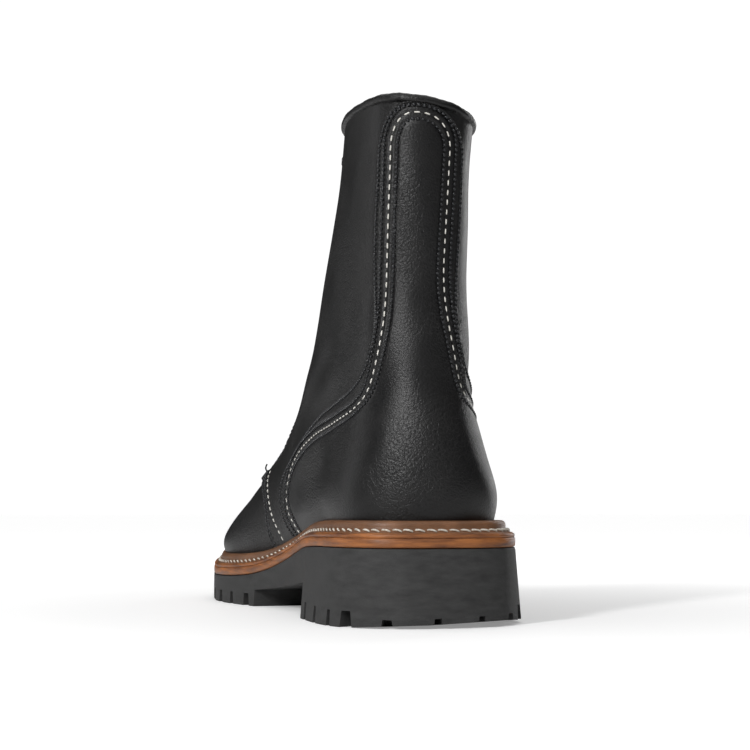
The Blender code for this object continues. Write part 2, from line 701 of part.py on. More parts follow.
def centre_on_origin():
    """Put the middle of the footprint over the origin and the tread on the ground."""
    corners = np.array([Vector(c) + ob.location
                        for ob in BOOT.objects for c in ob.bound_box])
    low = corners.min(axis=0)
    high = corners.max(axis=0)
    shift = Vector(((low[0] + high[0]) / -2, (low[1] + high[1]) / -2, -low[2]))
    for ob in list(BOOT.objects) + list(CUTTERS.all_objects):
        if ob.name == "tongue":
            ob.location = ob.location + shift
        else:
            ob.data.transform(Matrix.Translation(shift))


centre_on_origin()
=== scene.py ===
"""Looks of the fire boot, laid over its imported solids.

Shapes are worked out in millimetres on the boot's skin: x to the medial side, s forward from the
back of the heel, z up. place() turns them into the shared frame, in metres.
"""
import math

import bmesh
import bpy
import numpy as np
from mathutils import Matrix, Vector
from mathutils.kdtree import KDTree


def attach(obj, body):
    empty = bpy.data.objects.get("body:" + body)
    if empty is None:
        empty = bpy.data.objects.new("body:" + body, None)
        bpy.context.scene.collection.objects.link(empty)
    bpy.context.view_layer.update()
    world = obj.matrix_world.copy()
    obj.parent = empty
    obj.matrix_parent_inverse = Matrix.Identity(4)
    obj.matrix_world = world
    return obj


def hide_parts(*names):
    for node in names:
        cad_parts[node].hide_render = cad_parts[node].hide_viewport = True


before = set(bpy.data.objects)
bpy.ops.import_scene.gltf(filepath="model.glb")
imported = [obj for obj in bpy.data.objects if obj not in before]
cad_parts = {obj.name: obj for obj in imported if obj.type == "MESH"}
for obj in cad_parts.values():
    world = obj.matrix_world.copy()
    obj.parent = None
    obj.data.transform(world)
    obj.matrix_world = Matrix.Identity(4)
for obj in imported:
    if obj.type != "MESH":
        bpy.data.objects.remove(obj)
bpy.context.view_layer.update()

CENTRE_X, CENTRE_S = 3.406, 152.495
SOLE_LENGTH, HEEL_BREAST, FOREPART_START, HEEL_FLARE = 307.0, 79.0, 172.0, 2.5
MIDSOLE_T, GAP = 4.2, 0.3
COLLAR, COLLAR_ROLL = 232.0, 0.2

# Same skin as the solids: sole outline, rubber top line and the rings of the upper.
OUTLINE = [
    (0, 0), (26, 5), (40, 22), (44, 48), (43, 85), (41.5, 120), (47, 160), (57, 200), (60, 232),
    (54, 268), (37, 295), (12, 307), (-14, 303), (-36, 283), (-48, 250), (-53, 205), (-52, 165),
    (-47, 120), (-44, 85), (-44, 48), (-40, 22), (-26, 5),
]
TOP_S = [0, 60, 90, 130, 170, 215, 270, 307]
TOP_Z = [33.5, 33.5, 32, 25.5, 17.5, 14.5, 16.5, 23.5]
STATIONS = [0.07, 0.25, 0.5, 0.75, 0.93]
RINGS = [
    (41, 31, 12, 299, (30.5, 30.5, 34, 52, 39.5), (30, 32, 40.5, 43.5, 28.5)),
    (56, 40, 9, 301, (31, 34.5, 38, 54, 41), (32.2, 34.5, 42, 45, 32)),
    (70, 57, 9, 289, (29, 33.5, 36.5, 44.5, 28.5), (28.5, 33, 40, 42.5, 26.5)),
    (86, 73, 11, 257, (25.5, 32, 34.5, 34, 21), (23.5, 31, 37, 37, 21)),
    (103, 88, 14, 226, (23, 30, 32.5, 30, 18.5), (19.5, 28, 34, 31.5, 17.5)),
    (122, 108, 15, 181, (21.5, 29.5, 32.5, 30.5, 17.5), (18.5, 28, 33, 30, 16)),
    (147, 138, 16, 145, (20, 28, 31.5, 30, 18), (16, 26, 30, 28, 15)),
    (175, 173, 14, 124, (19, 27, 30, 28, 16), (14.5, 24.5, 28.5, 26.5, 14.5)),
    (205, 205, 11, 112, (18, 25.5, 28, 25, 14), (14, 24, 28, 27, 15)),
    (COLLAR, COLLAR + 3, 8, 105, (18, 25, 27, 23.5, 13.5), (14.5, 24.5, 28, 27, 16)),
]
HALF_KEYS = np.array([0, 0.16, 0.34, 0.52, 0.70, 0.87, 1.0]) * 0.5
RING_KEYS = np.r_[HALF_KEYS[:-1], 1 - HALF_KEYS[::-1][:-1]]
LEVELS = np.linspace(0, 1, len(RINGS))

# Pattern lines as (fraction of the way round from the back, height fraction).
COVER_EDGE = [(0.232, -0.01), (0.25, 0.1), (0.266, 0.2), (0.268, 0.3), (0.25, 0.36), (0.221, 0.42),
              (0.17, 0.455), (0.12, 0.475), (0.094, 0.506), (0.080, 0.556), (0.074, 0.6),
              (0.078, 0.657), (0.094, 0.8), (0.098, 0.9)]
COVER_SEAM = [(0.222, 0.0), (0.228, 0.048), (0.237, 0.105), (0.247, 0.158), (0.253, 0.206),
              (0.255, 0.266), (0.25, 0.306), (0.238, 0.336), (0.213, 0.366), (0.18, 0.380),
              (0.13, 0.394), (0.093, 0.415), (0.074, 0.445), (0.065, 0.49), (0.058, 0.55),
              (0.052, 0.61), (0.05, 0.7), (0.056, 0.82), (0.059, 0.91)]
QUARTER_EDGE = [(0.278, -0.01), (0.284, 0.1), (0.29, 0.155), (0.301, 0.2), (0.325, 0.25),
                (0.352, 0.29), (0.372, 0.36), (0.41, 0.44), (0.435, 0.5), (0.455, 0.56),
                (0.463, 0.65), (0.463, 0.82), (0.463, 1.0)]
QUARTER_SEAM = [(0.257, 0.0), (0.261, 0.035), (0.268, 0.1), (0.277, 0.148), (0.289, 0.195),
                (0.307, 0.248), (0.33, 0.29), (0.345, 0.315)]
TWIST = [(0, 0), (0.005, 0.2), (0.022, 0.45), (0.026, 0.7), (0.026, 1)]
EYELETS = [0.565, 0.607, 0.649, 0.690, 0.733]
HOOKS = [0.785, 0.840, 0.895, 0.950]
FACING_MARGIN = 0.042


def spline_basis(keys, query, period=None):
    """Weights of a cubic spline's keys at each query value; rows are queries."""
    keys = np.asarray(keys, float)
    query = np.asarray(query, float).ravel()
    count = len(keys)
    ends = np.r_[keys, keys[0] + period] if period else keys
    step = np.diff(ends)
    unit = np.eye(count)
    system = np.eye(count)
    right = np.zeros((count, count))
    for i in range(count) if period else range(1, count - 1):
        after = (i + 1) % count
        row = np.zeros(count)
        row[i - 1] += step[i - 1]
        row[i] += 2 * (step[i - 1] + step[i])
        row[after] += step[i]
        system[i] = row
        right[i] = 6 * ((unit[after] - unit[i]) / step[i] - (unit[i] - unit[i - 1]) / step[i - 1])
    bend = np.linalg.solve(system, right)
    if period:
        query = (query - keys[0]) % period + keys[0]
        unit = np.vstack([unit, unit[:1]])
        bend = np.vstack([bend, bend[:1]])
    k = np.clip(np.searchsorted(ends, query, side="right") - 1, 0, len(ends) - 2)
    span = (ends[k + 1] - ends[k])[:, None]
    a = query[:, None] - ends[k][:, None]
    b = span - a
    return (bend[k] * b ** 3 / (6 * span) + bend[k + 1] * a ** 3 / (6 * span)
            + (unit[k] / span - bend[k] * span / 6) * b
            + (unit[k + 1] / span - bend[k + 1] * span / 6) * a)


def rubber_top(s):
    s = np.clip(np.asarray(s, float), 0, SOLE_LENGTH)
    return (spline_basis(TOP_S, s) @ np.array(TOP_Z, float)).reshape(s.shape)


def ring_points(ring):
    z_back, z_front, s_back, s_front, medial, lateral = ring
    t = np.array([0] + STATIONS + [1] + STATIONS[::-1])
    x = np.array([(medial[0] - lateral[0]) / 2, *medial, (medial[4] - lateral[4]) / 2,
                  *[-w for w in lateral[::-1]]])
    s = s_back + (s_front - s_back) * t
    seat = rubber_top(s) + MIDSOLE_T + 3.4
    straight = seat[0] + (seat[6] - seat[0]) * t
    follow = min(max((88 - z_back) / 47, 0), 1)
    z = z_back + (z_front - z_back) * t + follow * (seat - straight)
    z = z + min(max((z_back - 205) / 27, 0), 1) * COLLAR_ROLL * x
    return np.stack([x, s, seat if z_back < 45 else z], axis=1)


RING_SHAPES = np.array([ring_points(ring) for ring in RINGS])


def skin(u, v):
    """Points on the boot skin; u goes round from the back, v from the welt to the collar."""
    u, v = np.broadcast_arrays(np.asarray(u, float), np.asarray(v, float))
    around = spline_basis(RING_KEYS, u, period=1)
    level = spline_basis(LEVELS, v)
    return np.einsum("nk,nj,kjc->nc", level, around, RING_SHAPES).reshape(u.shape + (3,))


def skin_axes(u, v):
    """Change of the skin point with u and with v, and the outward normal."""
    e = 0.003
    u, v = np.asarray(u, float), np.asarray(v, float)
    du = (skin(u + e, v) - skin(u - e, v)) / (2 * e)
    dv = (skin(u, v + e) - skin(u, v - e)) / (2 * e)
    normal = np.cross(du, dv)
    normal /= np.linalg.norm(normal, axis=-1, keepdims=True)
    return du, dv, normal


def relief(p):
    """Low swells of worked leather, in millimetres."""
    x, s, z = p[..., 0], p[..., 1], p[..., 2]
    swell = 0.22 * np.sin(x / 9.1 + 0.05 * z) * np.sin(s / 13.7 + 1.3) * np.sin(z / 15.3 + 0.4)
    swell += 0.12 * np.sin(x / 4.3 + s / 7.9) * np.sin(z / 6.7 + s / 11)
    ankle = np.exp(-((z - 118) / 16) ** 2) * np.clip((s - 45) / 40, 0, 1)
    swell += 0.35 * ankle * np.sin((z + 0.35 * s) / 4.1 + 0.6 * np.sin(s / 17))
    flex = np.exp(-((s - 214) / 15) ** 2) * np.clip((z - 45) / 25, 0, 1)
    return swell + 0.35 * flex * np.sin(s / 3.1 + 0.5 * np.sin(x / 9))


def on_skin(u, v, depth):
    """Points a given depth above the skin, with the leather's swells."""
    p = skin(u, v)
    normal = skin_axes(u, v)[2]
    return p + normal * (relief(p) + depth)[..., None], normal


def place(points):
    points = np.asarray(points, float)
    return np.stack([points[..., 0] - CENTRE_X, CENTRE_S - points[..., 1], points[..., 2]],
                    axis=-1) / 1000


def smooth_path(points, count=400):
    points = np.array(points, float)
    scaled = points * np.array([400, 230])
    keys = np.r_[0, np.cumsum(np.linalg.norm(np.diff(scaled, axis=0), axis=1))]
    return spline_basis(keys, np.linspace(0, keys[-1], count)) @ points


def twist(v):
    values, keys = zip(*TWIST)
    return np.interp(v, keys, values)


def to_side(path, side):
    """Turn (half fraction, v) into (u, v) on the medial (1) or the lateral (-1) side."""
    half, v = path[:, 0], path[:, 1]
    return np.stack([side * half + twist(v) * (1 - 2 * half), v], axis=1)


def half_at(path, v):
    return np.interp(v, path[:, 1], path[:, 0])


def with_arch(path, top, count=60):
    """Close a side line into a rounded top at the back of the shaft."""
    low = path[-1]
    angle = np.linspace(0, math.pi / 2, count)[1:]
    half = low[0] * np.cos(angle) ** 0.85
    return np.vstack([path, np.stack([half, low[1] + (top - low[1]) * np.sin(angle)], axis=1)])


def offset_path(uv, distance):
    """Shift a line on the skin sideways by a distance in millimetres."""
    u, v = uv[:, 0], uv[:, 1]
    du, dv, normal = skin_axes(u, v)
    points = skin(u, v)
    along = np.gradient(points, axis=0)
    side = np.cross(normal, along)
    side /= np.linalg.norm(side, axis=1, keepdims=True)
    a = (du * du).sum(1)
    b = (du * dv).sum(1)
    c = (dv * dv).sum(1)
    p = (du * side).sum(1)
    q = (dv * side).sum(1)
    det = a * c - b * b
    shift = np.stack([(c * p - b * q) / det, (a * q - b * p) / det], axis=1)
    return uv + shift * distance


# Materials.
def material(name, base, rough, dark=None, metallic=0.0, mottle=40.0, grain=0.0, grain_size=1.0,
             fine=0.0, fine_size=0.3, streak=None, rough_spread=0.1, patchy=False, specular=0.5):
    """Procedural surface: mottled colour, cell grain, fine noise, optional streaks and cracks."""
    mat = bpy.data.materials.new(name)
    mat.use_nodes = True
    tree = mat.node_tree
    shader = tree.nodes["Principled BSDF"]
    shader.inputs["Metallic"].default_value = metallic
    shader.inputs["Specular IOR Level"].default_value = specular

    def node(kind, **values):
        made = tree.nodes.new(kind)
        for key, value in values.items():
            if key in made.inputs:
                made.inputs[key].default_value = value
            else:
                setattr(made, key, value)
        return made

    def link(a, out, b, into):
        tree.links.new(a.outputs[out], b.inputs[into])

    coords = node("ShaderNodeTexCoord")
    space = node("ShaderNodeMapping")
    link(coords, "Object", space, "Vector")
    if streak:
        space.inputs["Scale"].default_value = streak
    patches = node("ShaderNodeTexNoise", Scale=mottle, Detail=5.0, Roughness=0.6)
    link(space, "Vector", patches, "Vector")
    ramp = node("ShaderNodeValToRGB")
    ramp.color_ramp.elements[0].position = 0.3
    ramp.color_ramp.elements[1].position = 0.7
    ramp.color_ramp.elements[0].color = (*(dark or [c * 0.7 for c in base]), 1)
    ramp.color_ramp.elements[1].color = (*base, 1)
    link(patches, "Fac", ramp, "Fac")
    link(ramp, "Color", shader, "Base Color")
    wear = node("ShaderNodeMapRange")
    wear.inputs["To Min"].default_value = rough - rough_spread
    wear.inputs["To Max"].default_value = rough + rough_spread
    link(patches, "Fac", wear, "Value")
    link(wear, "Result", shader, "Roughness")
    last = None
    if grain:
        cells = node("ShaderNodeTexVoronoi", Scale=1000 / grain_size)
        cells.feature = "SMOOTH_F1"
        cells.inputs["Smoothness"].default_value = 0.45
        warp = node("ShaderNodeTexNoise", Scale=700 / grain_size, Detail=2.0)
        link(coords, "Object", warp, "Vector")
        mix = node("ShaderNodeVectorMath")
        mix.operation = "MULTIPLY_ADD"
        mix.inputs[1].default_value = [0.0009 * grain_size] * 3
        link(warp, "Color", mix, 0)
        link(coords, "Object", mix, 2)
        link(mix, "Vector", cells, "Vector")
        bump = node("ShaderNodeBump", Strength=grain, Distance=0.0004 * grain_size)
        bump.invert = True
        link(cells, "Distance", bump, "Height")
        if patchy:
            where = node("ShaderNodeTexNoise", Scale=22.0, Detail=1.0)
            link(coords, "Object", where, "Vector")
            amount = node("ShaderNodeMapRange")
            amount.inputs["From Min"].default_value = 0.4
            amount.inputs["From Max"].default_value = 0.65
            amount.inputs["To Min"].default_value = grain * 0.25
            amount.inputs["To Max"].default_value = grain
            link(where, "Fac", amount, "Value")
            link(amount, "Result", bump, "Strength")
        last = bump
    if patchy:
        cracks = node("ShaderNodeTexVoronoi", Scale=420.0)
        cracks.feature = "DISTANCE_TO_EDGE"
        link(mix, "Vector", cracks, "Vector")
        fold = node("ShaderNodeMapRange")
        fold.inputs["From Max"].default_value = 0.10
        link(cracks, "Distance", fold, "Value")
        bump = node("ShaderNodeBump", Strength=0.4, Distance=0.00016)
        link(fold, "Result", bump, "Height")
        link(amount, "Result", bump, "Strength")
        link(last, "Normal", bump, "Normal")
        last = bump
    if fine:
        dust = node("ShaderNodeTexNoise", Scale=1000 / fine_size, Detail=4.0, Roughness=0.65)
        link(space, "Vector", dust, "Vector")
        bump = node("ShaderNodeBump", Strength=fine, Distance=0.00025)
        link(dust, "Fac", bump, "Height")
        if last:
            link(last, "Normal", bump, "Normal")
        last = bump
    if last:
        link(last, "Normal", shader, "Normal")
    return mat


BLACK = material("black_leather_look", (0.0100, 0.0096, 0.0097), 0.36,
                 dark=(0.0050, 0.0050, 0.0054), mottle=45, grain=0.58, grain_size=0.95, fine=0.3,
                 fine_size=0.25, patchy=True, rough_spread=0.09, specular=0.42)
LINING = material("lining_look", (0.36, 0.25, 0.155), 0.62, dark=(0.27, 0.18, 0.11), mottle=60,
                  grain=0.15, grain_size=1.0, fine=0.2)
TAN_EDGE = material("leather_edge_look", (0.48, 0.170, 0.045), 0.40, dark=(0.105, 0.034, 0.013),
                    mottle=190, fine=0.8, fine_size=0.8, streak=(0.3, 0.3, 2.6), rough_spread=0.15)
WELT_TOP = material("welt_look", (0.26, 0.120, 0.056), 0.42, dark=(0.13, 0.058, 0.027), mottle=70,
                    grain=0.2, grain_size=0.8, fine=0.35)
RUBBER = material("rubber_look", (0.056, 0.056, 0.056), 0.62, dark=(0.030, 0.030, 0.030),
                  mottle=170, fine=1.0, fine_size=0.6, streak=(0.6, 0.6, 2.0), rough_spread=0.12,
                  specular=0.35)
WHITE = material("white_thread_look", (0.95, 0.93, 0.87), 0.65, dark=(0.78, 0.75, 0.68), mottle=900,
                 fine=0.6, fine_size=0.25)
WELT_THREAD = material("welt_thread_look", (0.90, 0.85, 0.76), 0.7, dark=(0.50, 0.44, 0.37),
                       mottle=500, fine=0.7, fine_size=0.25)
DARK_THREAD = material("black_thread_look", (0.024, 0.025, 0.028), 0.28, mottle=600, fine=0.5,
                       fine_size=0.25)
METAL = material("black_metal_look", (0.06, 0.06, 0.062), 0.32, metallic=1.0, mottle=200,
                 fine=0.08, fine_size=0.5)
STEEL = material("steel_look", (0.5, 0.5, 0.52), 0.4, metallic=1.0, fine=0.1)
CORK = material("cork_look", (0.36, 0.24, 0.14), 0.85, grain=0.6, grain_size=2.2)
BOARD = material("board_look", (0.46, 0.36, 0.25), 0.75, fine=0.4)
for name, surface in {"shank": STEEL, "cork_filler": CORK, "heel_counter": BOARD,
                      "toe_puff": BOARD}.items():
    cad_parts[name].data.materials.clear()
    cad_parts[name].data.materials.append(surface)


# Mesh helpers.
def add(name, verts, faces, surface, nodes=(), body="boot", smooth=True):
    """Mesh object from points in millimetres, riding a body and replacing nodes."""
    mesh = bpy.data.meshes.new(name)
    mesh.from_pydata(place(verts).tolist(), [], faces)
    work = bmesh.new()
    work.from_mesh(mesh)
    bmesh.ops.recalc_face_normals(work, faces=work.faces)
    work.to_mesh(mesh)
    work.free()
    if smooth:
        mesh.shade_smooth()
    mesh.materials.append(surface)
    ob = bpy.data.objects.new(name, mesh)
    bpy.context.scene.collection.objects.link(ob)
    if body:
        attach(ob, body)
    if nodes:
        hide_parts(*nodes)
    return ob


def grid_faces(rows, cols, close=False):
    """Quads of a grid of points; close joins its last column to the first."""
    i = np.arange(rows - 1)[:, None] * cols
    j = np.arange(cols if close else cols - 1)[None, :]
    k = (j + 1) % cols
    quads = np.stack(np.broadcast_arrays(i + j, i + k, i + cols + k, i + cols + j), axis=-1)
    return quads.reshape(-1, 4).tolist()


def nearest(points, targets):
    """Distance from each point to the closest target."""
    tree = KDTree(len(targets))
    for i, p in enumerate(targets):
        tree.insert(p, i)
    tree.balance()
    return np.array([tree.find(p)[2] for p in points])


def leather(name, left, right, rows, outer, thickness, surface, nodes, slot="black_leather",
            cols=90, grooves=(), holes=(), edge=0.9, ends=(False, False), body="boot", pad=0.0):
    """Cut piece of leather between two lines on the skin, with rounded edges and pressed seams."""
    rows = np.asarray(rows, float)
    t = np.linspace(0, 1, cols)
    t = 0.45 * t + 0.55 * (0.5 - 0.5 * np.cos(math.pi * t))
    u = left(rows)[:, None] + t[None, :] * (right(rows) - left(rows))[:, None]
    v = rows[:, None] + 0 * u
    p = skin(u, v)
    normal = skin_axes(u, v)[2]
    flat = p.reshape(-1, 3)
    border = [p[:, 0], p[:, -1]]
    if ends[0]:
        border.append(p[0])
    if ends[1]:
        border.append(p[-1])
    border = np.vstack([dense(line) for line in border])
    away = nearest(flat, border).reshape(u.shape)
    depth = np.zeros(u.shape) + (outer(u, v) if callable(outer) else outer)
    fall = np.clip(1 - away / edge, 0, 1)
    rise = -edge * (1 - np.sqrt(1 - fall ** 2)) * min(1, thickness / edge * 0.75)
    if pad:
        rise = rise + pad * (1 - np.exp(-away / 6))
    for line, press, width in grooves:
        gap = nearest(flat, dense(line, 0.8)).reshape(u.shape)
        rise = rise - press * np.exp(-(gap / width) ** 2)
    top = p + normal * (depth + rise + relief(p))[..., None]
    low = p + normal * (depth - thickness + relief(p))[..., None]
    count = u.size
    verts = np.vstack([top.reshape(-1, 3), low.reshape(-1, 3)])
    faces = grid_faces(*u.shape)
    under = [[a + count, d + count, c + count, b + count] for a, b, c, d in faces]
    last_row = len(rows) - 1
    ring = list(range(cols)) + [i * cols + cols - 1 for i in range(1, last_row + 1)]
    ring += [last_row * cols + j for j in range(cols - 2, -1, -1)]
    ring += [i * cols for i in range(last_row - 1, 0, -1)]
    walls = [[a, b, b + count, a + count] for a, b in zip(ring, ring[1:] + ring[:1])]
    ob = add(name, verts, faces + under + walls, surface, nodes, body)
    for hole_at, radius in holes:
        cut_hole(ob, hole_at, radius)
    return ob


def dense(line, step=0.6):
    """The same line with a point every step millimetres."""
    line = np.asarray(line, float)
    length = np.r_[0, np.cumsum(np.linalg.norm(np.diff(line, axis=0), axis=1))]
    at = np.linspace(0, length[-1], max(2, int(length[-1] / step)))
    return np.stack([np.interp(at, length, line[:, k]) for k in range(3)], axis=1)


def resample(uv, pitch):
    """Evenly spaced places along a line on the skin, a pitch apart in millimetres."""
    points = skin(uv[:, 0], uv[:, 1])
    length = np.r_[0, np.cumsum(np.linalg.norm(np.diff(points, axis=0), axis=1))]
    at = np.arange(pitch / 2, length[-1], pitch)
    return np.stack([np.interp(at, length, uv[:, k]) for k in range(2)], axis=1)


STRAND_SIDES = 8


def capsules(name, centres, along, normal, length, width, height, surface, slot=None, nodes=(),
             body="boot", turn=0.0):
    """Stitches: short rounded strands that dive at both ends, all in one mesh."""
    along = along / np.linalg.norm(along, axis=1, keepdims=True)
    side = np.cross(normal, along)
    if turn:
        along, side = (along * math.cos(turn) + side * math.sin(turn),
                       side * math.cos(turn) - along * math.sin(turn))
    station = np.array([-1, -0.93, -0.75, -0.4, 0, 0.4, 0.75, 0.93, 1])
    slim = np.array([0.25, 0.7, 0.95, 1, 1, 1, 0.95, 0.7, 0.25])
    arch = 1 - np.abs(station) ** 3 * 1.3
    angles = np.arange(STRAND_SIDES) * 2 * math.pi / STRAND_SIDES
    verts = []
    for x, r, h in zip(station, slim, arch):
        ring = (centres[:, None] + along[:, None] * (x * length / 2)
                + side[:, None] * (np.cos(angles)[None, :, None] * r * width / 2)
                + normal[:, None] * ((np.sin(angles)[None, :] * r * height / 2)
                                     + h * height * 0.45)[..., None])
        verts.append(ring)
    verts = np.stack(verts, axis=1)
    per = len(station) * STRAND_SIDES
    faces = []
    one = grid_faces(len(station), STRAND_SIDES, close=True)
    one += [list(range(STRAND_SIDES)), list(range(per - STRAND_SIDES, per))]
    for i in range(len(centres)):
        faces += [[a + i * per for a in face] for face in one]
    return add(name, verts.reshape(-1, 3), faces, surface, nodes, body)


def stitch(name, uv, depth, pitch, length, width, surface=None, **more):
    """A row of stitches along a line on the skin; white unless a surface is given."""
    uv = resample(uv, pitch)
    centres, normal = on_skin(uv[:, 0], uv[:, 1], np.full(len(uv), depth))
    along = np.gradient(skin(uv[:, 0], uv[:, 1]), axis=0)
    return capsules(name, centres, along, normal, length, width, width * 0.9, surface or WHITE,
                    slot="white_thread" if surface is None else "black_thread", **more)


# Upper.
SIDES = (("medial", 1), ("lateral", -1))
WHITE_ROW = dict(pitch=4.35, length=2.9, width=0.72)
BLACK_ROW = dict(pitch=2.7, length=2.1, width=0.8, surface=DARK_THREAD)
COVER_ROW = dict(pitch=2.2, length=1.5, width=1.3, surface=DARK_THREAD)

cover_edge = with_arch(smooth_path(COVER_EDGE), 0.986)
cover_seam = with_arch(smooth_path(COVER_SEAM), 0.9675)
quarter_edge = smooth_path(QUARTER_EDGE)


def side_u(path, side, shift=0.0):
    """The way round at each height of a side line moved by a shift, as a function of height."""
    def at(v):
        half = half_at(path, v) + shift
        return side * half + twist(v) * (1 - 2 * half)
    return at


def loop_over_back(path):
    """Medial side up, over the back and down the lateral side."""
    return np.vstack([to_side(path, 1), to_side(path, -1)[::-1][1:]])


def rows_between(low, high, step):
    return np.unique(np.r_[np.arange(low, high, step), high])


def on_path(uv):
    return on_skin(uv[:, 0], uv[:, 1], np.zeros(len(uv)))[0]


def frame_at(u, v, depth=0.0):
    """Origin, across, up and outward directions at a place on the skin."""
    du, dv, normal = (a[0] for a in skin_axes([u], [v]))
    origin = on_skin(np.array([u]), np.array([v]), np.array([depth]))[0][0]
    up = dv - normal * dv.dot(normal)
    up /= np.linalg.norm(up)
    return origin, np.cross(up, normal), up, normal


def facing_frame(side, v):
    """Frame of an eyelet or a hook on the facing, at a height."""
    return frame_at(float(side_u(quarter_edge, side, -FACING_MARGIN)(v)), v)


def apply_modifiers(ob):
    bpy.context.view_layer.update()
    done = bpy.data.meshes.new_from_object(ob.evaluated_get(bpy.context.evaluated_depsgraph_get()))
    ob.modifiers.clear()
    ob.data = done


def cut_hole(ob, at, radius):
    """Round hole through a piece of leather, cut by a short cylinder."""
    origin, across, up, normal = at
    sides, above, below = 24, 4, 9
    angles = np.arange(sides) * 2 * math.pi / sides
    ring = across * np.cos(angles)[:, None] * radius + up * np.sin(angles)[:, None] * radius
    verts = np.vstack([origin + ring + normal * above, origin + ring - normal * below])
    faces = [[i, (i + 1) % sides, sides + (i + 1) % sides, sides + i] for i in range(sides)]
    faces += [list(range(sides)), list(range(sides, 2 * sides))]
    tool = add("hole_tool", verts, faces, METAL, body=None, smooth=False)
    cut = ob.modifiers.new("hole", "BOOLEAN")
    cut.operation = "DIFFERENCE"
    cut.solver = "EXACT"
    cut.object = tool
    apply_modifiers(ob)
    bpy.data.objects.remove(tool)


def build_counter_cover():
    """Heel cover with its backstay: three black rows and a white one, each in a pressed groove."""
    white_line = loop_over_back(cover_seam)
    black_lines = [offset_path(loop_over_back(cover_edge), 1.6), offset_path(white_line, -3.4),
                   offset_path(white_line, 2.9)]
    arch_rows = 0.90 + 0.086 * np.sin(np.linspace(0, math.pi / 2, 26))
    rows = np.unique(np.r_[np.arange(0, 0.36, 0.008), np.arange(0.36, 0.52, 0.003),
                           np.arange(0.52, 0.90, 0.006), arch_rows[:-1], 0.9859])
    presses = ((0.45, 0.8), (0.6, 0.95), (0.6, 0.95))
    grooves = [(on_path(white_line), 0.35, 0.8)]
    grooves += [(on_path(line), *press) for line, press in zip(black_lines, presses)]
    leather("counter_cover_leather", side_u(cover_edge, -1), side_u(cover_edge, 1), rows, 1.8, 1.8,
            BLACK, ["counter_cover"], cols=150, edge=0.55, pad=0.15, grooves=grooves)
    stitch("backstay_white_stitches", white_line, 1.3, **WHITE_ROW)
    for number, line in enumerate(black_lines):
        stitch(f"backstay_black_stitches_{number}", line, 1.3, **COVER_ROW)


def lace_holes(side):
    return ([(facing_frame(side, v), 2.6) for v in EYELETS]
            + [(facing_frame(side, v), 1.6) for v in HOOKS])


def build_quarter(label, side):
    edge_uv = to_side(quarter_edge, side)
    seam_uv = to_side(smooth_path(QUARTER_SEAM, 200), side)
    first = offset_path(edge_uv, side * 1.9)[4:]
    second = offset_path(edge_uv, side * 4.1)[4:]
    stay = offset_path(edge_uv[150:], side * 19.0)
    leather(f"quarter_{label}_leather", twist, side_u(quarter_edge, side),
            rows_between(0, 0.985, 0.006), 0.0, 1.9, BLACK, [f"quarter_{label}"], cols=110,
            edge=0.8, pad=0.15, holes=lace_holes(side),
            grooves=[(on_path(first), 0.25, 0.8), (on_path(second), 0.25, 0.8),
                     (on_path(seam_uv), 0.3, 0.9), (on_path(stay), 0.2, 0.8)])
    stitch(f"quarter_{label}_black_stitches_a", first, -0.3, **BLACK_ROW)
    stitch(f"quarter_{label}_black_stitches_b", second, -0.3, **BLACK_ROW)
    stitch(f"quarter_{label}_white_stitches", seam_uv, -0.35, **WHITE_ROW)
    stitch(f"quarter_{label}_stay_stitches", stay, -0.25, **BLACK_ROW)


def vamp_u(shift):
    """The two edges of a piece that goes round the front, under the quarters."""
    lateral = side_u(quarter_edge, -1, shift)
    return side_u(quarter_edge, 1, shift), (lambda v: 1 + lateral(v))


def build_vamp():
    throat_row = np.stack([np.linspace(0.42, 0.58, 60), np.full(60, 0.497)], axis=1)
    leather("vamp_leather", *vamp_u(-0.022), rows_between(0, 0.5, 0.005), -2.1, 1.9, BLACK,
            ["vamp"], cols=150, edge=0.8, ends=(False, True), pad=0.1)
    stitch("throat_stitches", offset_path(throat_row, 2.0), -2.4, **BLACK_ROW)


def lining_depth(u, v):
    return -2.3 - np.interp(v, [0.5, 0.56], [2.3, 0])


def toe_depth(u, v):
    """The vamp lining dives further under the toe to leave room for the toe puff."""
    front = 0.5 - np.abs(0.5 - u)
    return -4.7 - np.interp(front, [0.33, 0.38], [0, 1.9]) * np.interp(v, [0.26, 0.36], [1, 0])


def build_linings():
    leather("quarter_lining_leather", side_u(quarter_edge, -1, -0.0015),
            side_u(quarter_edge, 1, -0.0015), rows_between(0, 0.985, 0.01), lining_depth, 1.6,
            LINING, ["quarter_lining"], "lining_leather", cols=120, edge=0.5,
            holes=lace_holes(1) + lace_holes(-1))
    leather("vamp_lining_leather", *vamp_u(0.002), rows_between(0, 0.49, 0.01), toe_depth, 1.5,
            LINING, ["vamp_lining"], "lining_leather", cols=90, edge=0.5)


def tongue_u(sign, trim=0.0):
    def at(v):
        return 0.5 + sign * (np.interp(v, [0.475, 0.55, 1.01], [0.08, 0.105, 0.13]) - trim)
    return at


def tongue_depth(u, v):
    return np.interp(v, [0.52, 0.62], [-7.6, -6.2])


def build_tongue():
    leather("tongue_leather", tongue_u(-1), tongue_u(1), rows_between(0.475, 1.01, 0.008),
            tongue_depth, 2.3, BLACK, ["tongue"], cols=60, edge=1.0, ends=(False, True), pad=0.3,
            body="tongue")
    edge_v = np.linspace(0.55, 0.995, 200)
    for label, sign in SIDES:
        line = np.stack([tongue_u(sign, 0.016)(edge_v), edge_v], axis=1)
        stitch(f"tongue_stitches_{label}", line, -6.3, pitch=3.2, length=2.4, width=0.7,
               surface=DARK_THREAD, body="tongue")


